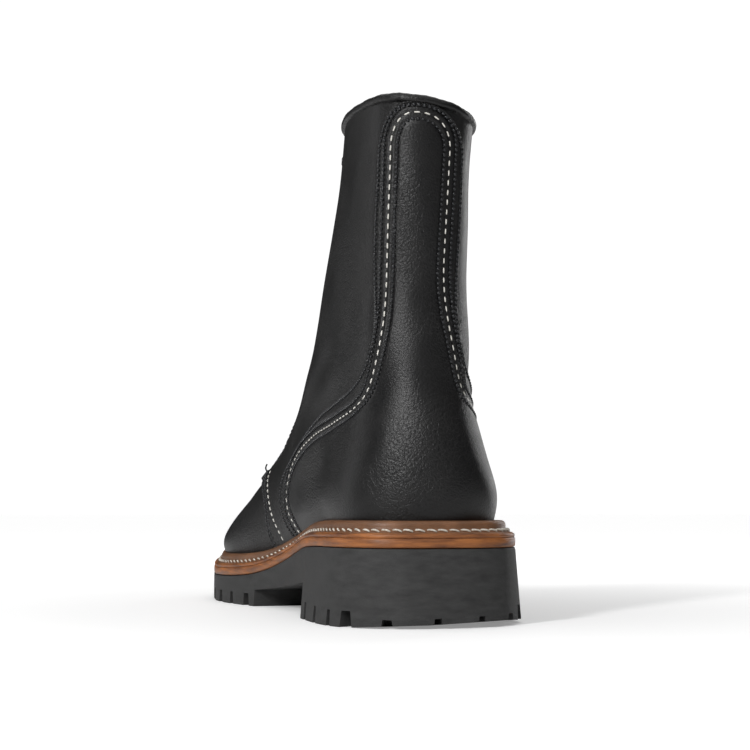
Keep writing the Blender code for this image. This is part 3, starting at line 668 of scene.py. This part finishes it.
# Collar binding, as (outward, up) from the edge it is folded over.
BINDING = np.array([(0.6, 1.0), (1.5, 1.0), (1.95, 1.6), (2.0, 2.7), (1.5, 3.9), (0.2, 4.8),
                    (-1.4, 5.0), (-3.0, 4.5), (-4.0, 3.0), (-4.4, 1.6), (-4.5, -0.6), (-4.1, -0.7)])


def build_binding():
    """A strip rolled over the collar's edge, fuller over the backstay and a little uneven."""
    steps = 260
    edge_half = half_at(quarter_edge, 1.0)
    half = np.linspace(-edge_half, edge_half, steps)
    u = half + twist(1.0) * (1 - 2 * np.abs(half))
    base, normal = on_skin(u, np.full_like(u, 0.98), np.zeros_like(u))
    outward = normal * [1, 1, 0]
    outward /= np.linalg.norm(outward, axis=1, keepdims=True)
    swell = np.exp(-(half / 0.085) ** 4)[:, None, None] * 0.8
    step = np.arange(steps)
    rolls = np.sin(step * 1.3) * 0.07 + np.sin(step * 0.41) * 0.12
    out, high = BINDING[None, :, :1], BINDING[None, :, 1:]
    verts = (base[:, None] + outward[:, None] * (out + (out > 0) * swell)
             + np.array([0, 0, 1.0]) * (high + rolls[:, None, None]))
    corners, last = len(BINDING), (steps - 1) * len(BINDING)
    faces = grid_faces(steps, corners, close=True)
    faces += [list(range(corners)), list(range(last, last + corners))]
    binding = add("collar_binding_leather", verts.reshape(-1, 3), faces, BLACK,
                  ["collar_binding"])
    soften = binding.modifiers.new("round", "SUBSURF")
    soften.levels = soften.render_levels = 1


def build_bar_tack(label, side):
    """Short strands across the throat's corner, and the loose end of the thread."""
    strands = 8
    v = 0.292
    u = side * (half_at(quarter_edge, v) - 0.007) + float(twist(v)) * (1 - 2 * 0.35)
    origin, across, up, normal = frame_at(u, v, 0.1)
    centres = origin + up * np.linspace(-3.0, 3.0, strands)[:, None] + normal * 0.1
    capsules(f"bar_tack_{label}_thread", centres, np.tile(across, (strands, 1)),
             np.tile(normal, (strands, 1)), 2.8, 0.9, 1.1, DARK_THREAD, "black_thread",
             [f"bar_tack_{label}"])
    curve = bpy.data.curves.new(f"thread_end_{label}", "CURVE")
    curve.dimensions = "3D"
    curve.bevel_depth = 0.00045
    curve.bevel_resolution = 3
    curve.use_fill_caps = True
    run = curve.splines.new("NURBS")
    knots = [(0, 2.2, 0.3), (0.5, 2.8, 1.5), (1.6, 2.6, 2.6), (2.6, 3.2, 2.7), (2.9, 4.4, 3.0)]
    run.points.add(len(knots) - 1)
    for point, (a, b, c) in zip(run.points, knots):
        point.co = (*place(origin + across * a * side + up * b + normal * c), 1)
    run.use_endpoint_u = True
    curve.materials.append(DARK_THREAD)
    tail = bpy.data.objects.new(f"thread_end_{label}", curve)
    bpy.context.scene.collection.objects.link(tail)
    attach(tail, "boot")


# Lacing hardware: an eyelet as (radius, height) and a hook's spine as (along, height).
EYELET = [(2.25, 0.2), (2.3, 0.7), (2.7, 1.0), (3.4, 1.05), (4.0, 0.8), (4.35, 0.35), (4.3, 0.05),
          (2.6, 0.0), (2.55, -4.4), (2.3, -4.4)]
HOOK = np.array([(-4.5, 0.45), (-1.5, 0.45), (2.2, 0.5), (4.2, 1.2), (5.3, 2.9), (4.5, 4.8),
                 (2.2, 5.5), (-0.4, 5.2), (-2.2, 4.7)])
HOOK_SECTION = ((-1, -0.2), (-0.94, -0.4), (0.94, -0.4), (1, -0.2), (1, 0.2), (0.94, 0.4),
                (-0.94, 0.4), (-1, 0.2))


def build_eyelet(label, side, number, v):
    origin, across, up, normal = facing_frame(side, v)
    sides = 36
    angles = np.arange(sides) * 2 * math.pi / sides
    verts = [origin + across * (r * math.cos(a)) + up * (r * math.sin(a)) + normal * h
             for r, h in EYELET for a in angles]
    last = (len(EYELET) - 1) * sides
    faces = grid_faces(len(EYELET), sides, close=True)
    faces += [[last + i, last + (i + 1) % sides, (i + 1) % sides, i] for i in range(sides)]
    add(f"eyelet_{label}_{number}_metal", np.array(verts), faces, METAL,
        [f"eyelet_{label}_{number}"])


def build_hook(label, side, number, v):
    """Bent strip with a broad foot and a curled tip, and the rivet in its foot."""
    origin, across, up, normal = facing_frame(side, v)
    steps = 40
    keys = np.r_[0, np.cumsum(np.linalg.norm(np.diff(HOOK, axis=0), axis=1))]
    spine = spline_basis(keys, np.linspace(0, keys[-1], steps)) @ HOOK
    along = np.gradient(spine, axis=0)
    along /= np.linalg.norm(along, axis=1, keepdims=True)
    verts = []
    for k, ((a, h), (da, dh)) in enumerate(zip(spine, along)):
        wide = np.interp(k, [0, 2, 14, 24, 36, 39], [2.4, 3.4, 3.2, 2.5, 2.5, 1.6])
        centre = origin + across * a * side + normal * h
        lift = across * -dh * side + normal * da
        verts += [centre + up * p * wide + lift * q for p, q in HOOK_SECTION]
    corners = len(HOOK_SECTION)
    faces = grid_faces(steps, corners, close=True)
    faces += [list(range(corners)), list(range(len(verts) - corners, len(verts)))]
    add(f"hook_{label}_{number}_metal", np.array(verts), faces, METAL,
        [f"hook_{label}_{number}"])
    rivet = (origin + normal * 0.9 - across * 1.2 * side)[None]
    capsules(f"hook_rivet_{label}_{number}", rivet, up[None], normal[None], 3.0, 3.0, 0.9, METAL,
             "black_brass")


build_counter_cover()
for label, side in SIDES:
    build_quarter(label, side)
build_vamp()
build_linings()
build_tongue()
build_binding()
for label, side in SIDES:
    build_bar_tack(label, side)
for label, side in SIDES:
    for number, v in enumerate(EYELETS, 1):
        build_eyelet(label, side, number, v)
    for number, v in enumerate(HOOKS, 1):
        build_hook(label, side, number, v)


# Sole. Sections are (inset from the sole's edge, height).
WELT = [(0.75, 0.05), (0.35, 0.35), (0.3, 1.3), (0.7, 1.75), (1.5, 2.15), (2.4, 2.45), (3.2, 3.05),
        (4.0, 3.8), (4.35, 4.2), (4.3, 4.9), (4.4, 6.0), (4.9, 6.9), (5.8, 7.4), (7.0, 7.5),
        (8.6, 7.2), (10.5, 6.8), (11.5, 6.0), (11.8, 0.1)]
WELT_EDGE_BANDS = 4
MIDSOLE = [(1.0, 0.0), (0.35, 0.2), (0.05, 0.7), (0.0, 2.2), (0.1, 3.6), (0.45, 4.15), (1.0, 4.3),
           (14, 4.3), (14, 0.0)]
SWEEP_STEPS = 420
# Lug cuts in the heel from the edge inward: distance round from the heel's back, width at the
# floor, width at the roof, depth, reach.
HEEL_CUTS = [
    (4, 5.2, 3, 2.3, 9), (25, 6.5, 4, 2.5, 9), (44.8, 7.6, 5, 7, 12), (57, 4.2, 2.6, 7, 10),
    (75, 5.2, 3.2, 7.5, 10), (95, 5.5, 3.4, 8, 10), (-16, 5.2, 3, 2.3, 9), (-34, 6.5, 4, 3, 9),
    (-46, 7.6, 5, 7, 12), (-60, 4.2, 2.6, 7, 10), (-77, 5.2, 3.2, 7.5, 10), (-96, 5.5, 3.4, 8, 10),
]
FORE_FIRST, FORE_STEP, FORE_CUTS = 181.5, 18.5, 6
# Most the heel's rear outer corner is worn, in metres.
WEAR = 0.0019


def outline_loop(count):
    """Evenly spaced points round the sole's edge, their outward normals and the whole length."""
    points = np.array(OUTLINE, float)
    samples = 3000
    chord = np.linalg.norm(np.roll(points, -1, axis=0) - points, axis=1) ** 0.5
    keys = np.r_[0, np.cumsum(chord)[:-1]] / chord.sum()
    fine = spline_basis(keys, np.linspace(0, 1, samples, endpoint=False), 1) @ points
    length = np.r_[0, np.cumsum(np.linalg.norm(np.roll(fine, -1, axis=0) - fine, axis=1))]
    where = np.interp(np.linspace(0, length[-1], count, endpoint=False), length,
                      np.arange(samples + 1)) / samples
    points = spline_basis(keys, where, 1) @ points
    ahead = np.roll(points, -1, axis=0) - np.roll(points, 1, axis=0)
    normal = np.stack([ahead[:, 1], -ahead[:, 0]], axis=1)
    return points, normal / np.linalg.norm(normal, axis=1, keepdims=True), length[-1]


def midsole_low(s):
    return rubber_top(s) + GAP


def midsole_high(s):
    return midsole_low(s) + MIDSOLE_T


def sweep(name, section, base, surface, nodes, wobble=0.05):
    """A section carried round the sole's edge, slightly uneven as if trimmed by hand."""
    count = SWEEP_STEPS
    points, normal, _ = outline_loop(count)
    turn = np.arange(count) * 2 * math.pi / count
    sway = wobble * (np.sin(7 * turn + 1) + 0.7 * np.sin(19 * turn) + 0.5 * np.sin(43 * turn + 2))
    rings = []
    for inset, height in section:
        ring = points - normal * (inset + sway)[:, None]
        rings.append(np.column_stack([ring, base(ring[:, 1]) + height]))
    verts = np.stack(rings).reshape(-1, 3)
    faces = grid_faces(len(section), count, close=True)
    last = len(verts) - count
    faces += [[last + i, last + (i + 1) % count, (i + 1) % count, i] for i in range(count)]
    return add(name, verts, faces, surface, nodes)


def build_welt():
    """Flange and bead; the flange's trimmed edge shows the leather's section."""
    welt = sweep("welt_leather", WELT, midsole_high, WELT_TOP, ["welt"])
    welt.data.materials.append(TAN_EDGE)
    for index, face in enumerate(welt.data.polygons):
        face.material_index = 1 if index // SWEEP_STEPS < WELT_EDGE_BANDS else 0


def build_lockstitch():
    """Slanted strands in the groove between the welt's flange and its bead."""
    steps, pitch = 1600, 5.3
    ring, outward, around = outline_loop(steps)
    count = int(around / pitch)
    pick = (np.arange(count) * steps / count).astype(int)
    spots = ring[pick] - outward[pick] * 3.3
    centres = np.column_stack([spots, midsole_high(spots[:, 1]) + 3.2])
    along = np.roll(centres, -1, axis=0) - np.roll(centres, 1, axis=0)
    slope = np.column_stack([outward[pick] * 0.6, np.ones(count)])
    slope /= np.linalg.norm(slope, axis=1, keepdims=True)
    capsules("welt_lockstitch", centres, along, slope, 4.5, 0.88, 0.9, WELT_THREAD, "white_thread",
             ["welt_stitching"], turn=0.3)


def tread_low(s):
    """Height of the rubber's underside: bevelled heel, raised waist and toe spring."""
    s = np.asarray(s, float)
    heel = np.clip((16 - s) * 0.1, 0, 3)
    front = np.interp(s, [FOREPART_START, 235, 270, SOLE_LENGTH], [0, 0, 3, 11])
    waist = np.interp(s, [HEEL_BREAST, FOREPART_START], [17, 8.5])
    return np.where(s < HEEL_BREAST, heel, np.where(s < FOREPART_START, waist, front))


def rubber_block():
    """Rubber unit before its cuts: matching stations on both sides, and a flared heel."""
    steps = 900
    loop = outline_loop(steps)[0]
    tip = int(np.argmax(loop[:, 1]))
    tail = int(np.argmin(loop[:, 1]))
    loop = np.roll(loop, -tail, axis=0)
    tip = (tip - tail) % steps
    low, high = loop[0, 1] + 0.01, loop[tip, 1] - 0.01
    at = low + (high - low) * (0.5 - 0.5 * np.cos(np.linspace(0, math.pi, 150)))
    at = at[(np.abs(at - HEEL_BREAST) > 1) & (np.abs(at - FOREPART_START) > 1)]
    at = np.sort(np.r_[at, HEEL_BREAST - 0.9, HEEL_BREAST + 0.9, FOREPART_START - 0.8,
                       FOREPART_START + 0.6])
    medial = np.interp(at, loop[:tip + 1, 1], loop[:tip + 1, 0])
    lateral = np.interp(at, loop[tip:, 1][::-1], loop[tip:, 0][::-1])
    top, bottom = rubber_top(at), tread_low(at)
    levels = []
    for share, inset in ((0, 0.3), (0.03, 0.0), (0.35, 0.0), (0.7, 0.0), (1, 0.0)):
        flare = np.clip((HEEL_BREAST + 0.5 - at) * 9, 0, 1) * HEEL_FLARE * share
        flare = flare * np.clip((at - 2) / 18, 0, 1) - inset
        s = at - np.clip(1 - at / 14, 0, 1) * HEEL_FLARE * share
        z = top + (bottom - top) * share
        levels.append([np.stack([medial + flare, s, z], 1), np.stack([lateral - flare, s, z], 1)])
    count, depth = len(at), len(levels)

    def vid(level, side, i):
        return (level * 2 + side) * count + i

    faces = []
    for i in range(count - 1):
        faces.append([vid(0, 0, i), vid(0, 0, i + 1), vid(0, 1, i + 1), vid(0, 1, i)])
        faces.append([vid(depth - 1, 0, i), vid(depth - 1, 1, i), vid(depth - 1, 1, i + 1),
                      vid(depth - 1, 0, i + 1)])
        for level in range(depth - 1):
            for side in (0, 1):
                faces.append([vid(level, side, i), vid(level, side, i + 1),
                              vid(level + 1, side, i + 1), vid(level + 1, side, i)])
    for level in range(depth - 1):
        for i in (0, count - 1):
            faces.append([vid(level, 0, i), vid(level, 1, i), vid(level + 1, 1, i),
                          vid(level + 1, 0, i)])
    return add("outsole_rubber", np.array(levels).reshape(-1, 3), faces, RUBBER, ["outsole"],
               smooth=False)


def channel(path, low_width, top_width, depth):
    """Cutter along a line under the tread; its roof follows the tread at that depth."""
    path = np.array(path, float)
    along = np.gradient(path, axis=0)
    along /= np.linalg.norm(along, axis=1, keepdims=True)
    side = np.stack([along[:, 1], -along[:, 0]], axis=1)
    verts = []
    for p, n in zip(path, side):
        roof = float(tread_low(p[1])) + depth
        for w, z in ((-low_width, -3), (low_width, -3), (top_width, roof), (-top_width, roof)):
            verts.append([*(p + n * w / 2), z])
    faces = grid_faces(len(path), 4, close=True)
    faces += [[0, 1, 2, 3], list(range(len(verts) - 4, len(verts)))]
    return np.array(verts), faces


def edge_cuts():
    """Cutters of the lugs' edge gaps; on the forepart wide and narrow ones take turns."""
    steps = 3000
    loop, normal, around = outline_loop(steps)
    cuts = []
    for arc, low, top, depth, reach in HEEL_CUTS:
        cuts.append((int(round(arc / around * steps)) % steps, low, top, depth, reach))
    for side in (1, -1):
        for number in range(FORE_CUTS):
            off = np.abs(loop[:, 1] - FORE_FIRST - FORE_STEP * number)
            on_side = np.where(loop[:, 0] * side > 3, off, 999)
            low, top, reach = (7.5, 5.5, 16) if number % 2 == 0 else (5.0, 3.4, 11)
            cuts.append((int(np.argmin(on_side)), low, top, 6.5, reach))
    tools = []
    for i, low, top, depth, reach in cuts:
        p, n = loop[i], normal[i]
        tools.append(channel([p + n * 7, p - n * reach * 0.5, p - n * reach], low, top, depth))
    return tools


def inner_cuts():
    """Chevron channels across heel and forepart, each set crossed by one lengthwise channel."""
    paths = []
    for x0, x1, s in ((-24, 26, 26), (-26, 27, 50), (-33, 38, 196), (-34, 40, 215), (-33, 40, 234),
                      (-29, 37, 253), (-22, 30, 272)):
        mid = (x0 + x1) / 2
        paths.append([(x0, s - 3), (mid - 8, s - 3), (mid, s + 3), (mid + 8, s - 3), (x1, s - 3)])
    paths.append([(1, 14), (1, 40), (1, 70)])
    paths.append([(2, 180), (3, 215), (5, 250), (4, 286)])
    return [channel(path, 4.2, 3.2, 5.0) for path in paths]


def cut_tread(rubber):
    group = bpy.data.collections.new("tread_tools")
    tools = []
    for number, (verts, faces) in enumerate(edge_cuts() + inner_cuts()):
        tool = add(f"tread_tool_{number:02d}", verts, faces, RUBBER, body=None, smooth=False)
        bpy.context.scene.collection.objects.unlink(tool)
        group.objects.link(tool)
        tools.append(tool)
    cut = rubber.modifiers.new("tread", "BOOLEAN")
    cut.operation = "DIFFERENCE"
    cut.solver = "EXACT"
    cut.operand_type = "COLLECTION"
    cut.collection = group
    apply_modifiers(rubber)
    for tool in tools:
        bpy.data.objects.remove(tool)
    bpy.data.collections.remove(group)


def build_outsole():
    """Lugged rubber with softened edges and a worn rear outer corner."""
    rubber = rubber_block()
    cut_tread(rubber)
    for vertex in rubber.data.vertices:
        x, s, z = vertex.co.x * 1000 + CENTRE_X, CENTRE_S - vertex.co.y * 1000, vertex.co.z * 1000
        worn = min(max((8 - x) / 40, 0), 1) * min(max((60 - s) / 30, 0), 1) * max(1 - z / 30, 0)
        vertex.co.z += WEAR * worn
    rubber.data.shade_smooth()
    rubber.data.set_sharp_from_angle(angle=math.radians(32))
    bevel = rubber.modifiers.new("worn_edges", "BEVEL")
    bevel.width = 0.0004
    bevel.segments = 2
    bevel.limit_method = "ANGLE"
    bevel.angle_limit = math.radians(50)


def inner_sheet(name, inset, low, high, surface, nodes):
    """Flat inner layer of the bottom with a rounded rim."""
    count = 240
    loop, normal, _ = outline_loop(count)
    rings = []
    for extra, height in ((0.6, low), (0.0, low + 0.3), (0.0, high - 0.5), (0.2, high - 0.15),
                          (0.8, high), (8, high), (14, high)):
        ring = loop - normal * (inset + extra)
        rings.append(np.column_stack([ring, midsole_high(ring[:, 1]) + height]))
    verts = np.stack(rings).reshape(-1, 3)
    faces = grid_faces(len(rings), count, close=True)
    faces += [list(range(count)), list(range(len(verts) - count, len(verts)))]
    add(name, verts, faces, surface, nodes)


build_welt()
sweep("midsole_leather", MIDSOLE, midsole_low, TAN_EDGE, ["midsole"])
build_lockstitch()
build_outsole()
inner_sheet("sock_liner_leather", 19.5, 7.4, 8.8, LINING, ["sock_liner"])
inner_sheet("insole_board", 19.0, 4.3, 7.2, BOARD, ["insole"])


# Floor, light and camera.
FLOOR_SPAN = 40000
# Painted glow of the floor, by distance in metres from the boot's centre: 0.26 near the boot
# (painted shade), 0.60 far off.
PAINTED_FLOOR_GLOW = (("From Min", 0.12), ("From Max", 0.55), ("To Min", 0.26), ("To Max", 0.60))


def build_floor():
    """Pale floor with a painted glow for the camera only: white far off, weaker near the boot, a
    painted shade round it where the boot's shadows show.
    """
    look = material("floor_look", (0.93, 0.93, 0.93), 0.9, dark=(0.92, 0.92, 0.92), mottle=1.0,
                    rough_spread=0.0, specular=0.0)
    nodes, links = look.node_tree.nodes, look.node_tree.links
    shader = nodes["Principled BSDF"]
    shader.inputs["Emission Color"].default_value = (1, 1, 1, 1)
    seen = nodes.new("ShaderNodeLightPath")
    lift = nodes.new("ShaderNodeMath")
    lift.operation = "MULTIPLY"
    spread = nodes.new("ShaderNodeTexCoord")
    reach = nodes.new("ShaderNodeVectorMath")
    reach.operation = "LENGTH"
    fade = nodes.new("ShaderNodeMapRange")
    fade.interpolation_type = "SMOOTHSTEP"
    for socket, value in PAINTED_FLOOR_GLOW:
        fade.inputs[socket].default_value = value
    # The emission, for camera rays only, is the painted glow; it is lower near the boot.
    links.new(seen.outputs["Is Camera Ray"], lift.inputs[0])
    links.new(spread.outputs["Object"], reach.inputs[0])
    links.new(reach.outputs["Value"], fade.inputs["Value"])
    links.new(fade.outputs["Result"], lift.inputs[1])
    links.new(lift.outputs["Value"], shader.inputs["Emission Strength"])
    corners = np.array([(-1, -1, 0), (1, -1, 0), (1, 1, 0), (-1, 1, 0)], float) * FLOOR_SPAN
    floor = add("floor", corners + [CENTRE_X, CENTRE_S, 0], [[0, 1, 2, 3]], look, body=None)


def build_world():
    """Surroundings that are white to the camera and nearly dark to everything else."""
    world = bpy.data.worlds.new("studio")
    bpy.context.scene.world = world
    world.use_nodes = True
    background = world.node_tree.nodes["Background"]
    background.inputs["Color"].default_value = (1, 1, 1, 1)
    ray = world.node_tree.nodes.new("ShaderNodeLightPath")
    level = world.node_tree.nodes.new("ShaderNodeMapRange")
    level.inputs["To Min"].default_value = 0.04
    level.inputs["To Max"].default_value = 1.05
    world.node_tree.links.new(ray.outputs["Is Camera Ray"], level.inputs["Value"])
    world.node_tree.links.new(level.outputs["Result"], background.inputs["Strength"])
    bpy.context.scene.view_settings.view_transform = "Standard"


def overhead_light():
    data = bpy.data.lights.new("overhead_light", "SUN")
    data.energy = 1.25
    data.angle = math.radians(100)
    ob = bpy.data.objects.new("overhead_light", data)
    ob.rotation_euler = (math.radians(-14), math.radians(10), 0)
    bpy.context.scene.collection.objects.link(ob)


def strip_light(name, turn, rise, reach, size, power):
    """Strip lamp at a compass direction (0 behind the boot, 90 on its medial side)."""
    turn, rise = math.radians(turn), math.radians(rise)
    aim = Vector((0, 0.05, 0.12))
    spot = Vector((reach * math.cos(rise) * math.sin(turn), reach * math.cos(rise) * math.cos(turn),
                   aim.z + reach * math.sin(rise)))
    data = bpy.data.lights.new(name, "AREA")
    data.shape = "RECTANGLE"
    data.size, data.size_y = size
    data.energy = power
    ob = bpy.data.objects.new(name, data)
    ob.location = spot
    ob.rotation_euler = (aim - spot).to_track_quat("-Z", "Y").to_euler()
    bpy.context.scene.collection.objects.link(ob)


def build_camera():
    """Low view from behind, on the medial side."""
    data = bpy.data.cameras.new("camera")
    data.lens = 72.5
    data.sensor_width = 36
    data.dof.use_dof = False
    data.clip_start = 0.01
    camera = bpy.data.objects.new("camera", data)
    camera.location = ((199.9 - CENTRE_X) / 1000, (CENTRE_S + 617.1) / 1000, 0.0491)
    camera.rotation_euler = (math.radians(95.2), 0, math.radians(164.7))
    bpy.context.scene.collection.objects.link(camera)
    bpy.context.scene.camera = camera


build_floor()
build_world()
overhead_light()
strip_light("heel_light", 47, 25, 1.6, (0.16, 0.42), 12.5)
strip_light("shaft_light", 128, 12, 1.8, (0.25, 1.2), 2.5)
strip_light("edge_light", -128, 12, 1.8, (0.22, 1.3), 5)
strip_light("front_light", 200, 45, 1.8, (0.8, 0.8), 3.5)
build_camera()

bpy.context.view_layer.update()
